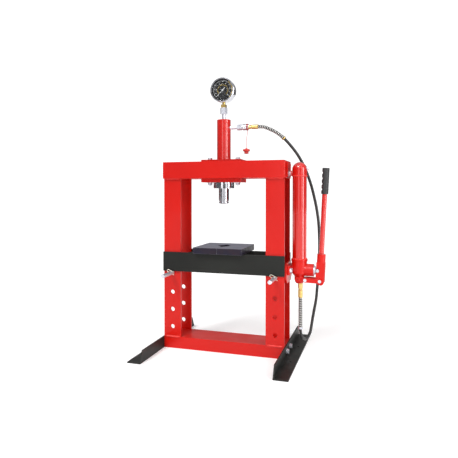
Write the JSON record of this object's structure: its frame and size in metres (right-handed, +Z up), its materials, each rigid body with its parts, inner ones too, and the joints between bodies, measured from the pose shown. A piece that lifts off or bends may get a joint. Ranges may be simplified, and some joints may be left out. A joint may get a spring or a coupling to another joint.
{
  "type": "hydraulic shop press",
  "caption": "Bench-top frame press with a hydraulic ram, pressure gauge, side-mounted hand pump with lever and hose, pinned bed and loose press plates.",
  "frame": {"origin": "on the floor, at the middle of the four bench bolt holes, which is the middle of the frame", "axes": "+X to the right, towards the pump; +Y to the back; +Z up, along the ram"},
  "size_m": [0.7455, 0.566, 1.145],
  "materials": {
    "red_paint": "glossy red enamel",
    "black_paint": "satin black enamel",
    "zinc": "zinc-plated steel",
    "chrome": "polished chrome",
    "ground_steel": "ground and blued steel",
    "brass": "turned brass",
    "clip_wire": "yellow-passivated spring wire",
    "rubber": "black rubber",
    "guard_wire": "wound steel wire",
    "dial_black": "matt black dial",
    "dial_white": "white lacquer",
    "window": "clear window",
    "red_plastic": "red moulded plastic"
  },
  "bodies": {
    "frame": {"base_channel": "red_paint", "upright_front_left": "red_paint", "upright_back_left": "red_paint", "upright_front_right": "red_paint", "upright_back_right": "red_paint", "head_channel_front": "red_paint", "head_channel_back": "red_paint", "head_end_plates": "red_paint", "head_plate_upper": "red_paint", "head_plate_lower": "red_paint", "ram_cylinder": "red_paint", "pump_brackets": "red_paint", "pump_body": "red_paint", "pump_tank": "red_paint", "pump_cap": "red_paint", "foot_left": "black_paint", "foot_right": "black_paint", "foot_bolts": "zinc", "head_bolts": "zinc", "gauge_nipple": "zinc", "gauge_coupling": "zinc", "port_fitting": "zinc", "pump_bolts": "zinc", "pump_stud": "zinc", "pump_gland": "zinc", "ram_spring": "zinc", "ram_collar": "chrome", "gauge_case": "chrome", "gauge_bezel": "chrome", "coupler_body": "chrome", "gauge_stem": "brass", "gauge_tube": "brass", "gauge_movement": "brass", "hose_ferrules": "brass", "hose": "rubber", "hose_guards": "guard_wire", "gauge_dial": "dial_black", "gauge_window": "window", "dust_plug": "red_plastic", "dust_plug_tether": "red_plastic"},
    "ram": {"ram_plunger": "chrome", "ram_seal": "rubber"},
    "pointer": {"gauge_pointer": "dial_white"},
    "sleeve": {"coupler_sleeve": "chrome"},
    "bed": {"bed_plates": "black_paint", "bed_spacers": "black_paint"},
    "plate_left": {"press_plate_left": "ground_steel"},
    "plate_right": {"press_plate_right": "ground_steel"},
    "pin_left": {"bed_pin_left": "zinc"},
    "pin_right": {"bed_pin_right": "zinc"},
    "clip_left": {"pin_clip_left": "clip_wire"},
    "clip_right": {"pin_clip_right": "clip_wire"},
    "plunger": {"pump_plunger": "chrome"},
    "links": {"lever_links": "red_paint", "lever_pins": "zinc"},
    "lever": {"lever_socket": "red_paint", "lever_tube": "red_paint", "lever_grip": "rubber"},
    "valve": {"release_valve": "red_paint"},
    "plug": {"filler_plug": "zinc"}
  },
  "joints": [
    {"name": "ram_slide", "type": "slide", "parent": "frame", "child": "ram", "axis": [0, 0, -1], "range_m": [0, 0.15], "stiffness_N_per_m": 700, "springref_m": -0.08, "deforming": ["ram_spring"]},
    {"name": "gauge_needle", "type": "hinge", "parent": "frame", "child": "pointer", "pos_m": [-0.012, -0.02, 1.093], "axis": [0, 1, 0], "range_deg": [0, 270], "stiffness_Nm_per_rad": 0.0004},
    {"name": "sleeve_slide", "type": "slide", "parent": "frame", "child": "sleeve", "axis": [-1, 0, 0], "range_m": [0, 0.004], "stiffness_N_per_m": 400, "springref_m": -0.003},
    {"name": "bed_lift", "type": "slide", "parent": "frame", "child": "bed", "axis": [0, 0, 1], "range_m": [0, 0.12]},
    {"name": "plate_left_slide", "type": "slide", "parent": "bed", "child": "plate_left", "axis": [-1, 0, 0], "range_m": [0, 0.04]},
    {"name": "plate_right_slide", "type": "slide", "parent": "bed", "child": "plate_right", "axis": [1, 0, 0], "range_m": [0, 0.04]},
    {"name": "pin_left_pull", "type": "slide", "parent": "frame", "child": "pin_left", "axis": [0, -1, 0], "range_m": [0, 0.16]},
    {"name": "pin_right_pull", "type": "slide", "parent": "frame", "child": "pin_right", "axis": [0, -1, 0], "range_m": [0, 0.16]},
    {"name": "clip_left_pull", "type": "slide", "parent": "pin_left", "child": "clip_left", "axis": [-0.9063, 0, 0.4226], "range_m": [0, 0.034]},
    {"name": "clip_right_pull", "type": "slide", "parent": "pin_right", "child": "clip_right", "axis": [-0.9063, 0, 0.4226], "range_m": [0, 0.034]},
    {"name": "link_swing", "type": "hinge", "parent": "frame", "child": "links", "pos_m": [0.335, 0, 0.312], "axis": [0, -1, 0], "range_deg": [0, 1.81]},
    {"name": "lever_swing", "type": "hinge", "parent": "links", "child": "lever", "pos_m": [0.393, 0, 0.31], "axis": [0, 1, 0], "range_deg": [0, 45]},
    {"name": "plunger_slide", "type": "slide", "parent": "frame", "child": "plunger", "axis": [1, 0, 0], "range_m": [0, 0.0323]},
    {"name": "valve_turn", "type": "hinge", "parent": "frame", "child": "valve", "pos_m": [0.306, -0.03, 0.315], "axis": [0, -1, 0], "range_deg": [0, 360]},
    {"name": "plug_turn", "type": "hinge", "parent": "frame", "child": "plug", "pos_m": [0.34, 0, 0.761], "axis": [1, 0, 0], "range_deg": [0, 360]}
  ],
  "couplings": [
    {"joint": "link_swing", "follows": "lever_swing", "ratio": 0.04},
    {"joint": "plunger_slide", "follows": "lever_swing", "m_per_rad": 0.041}
  ]
}
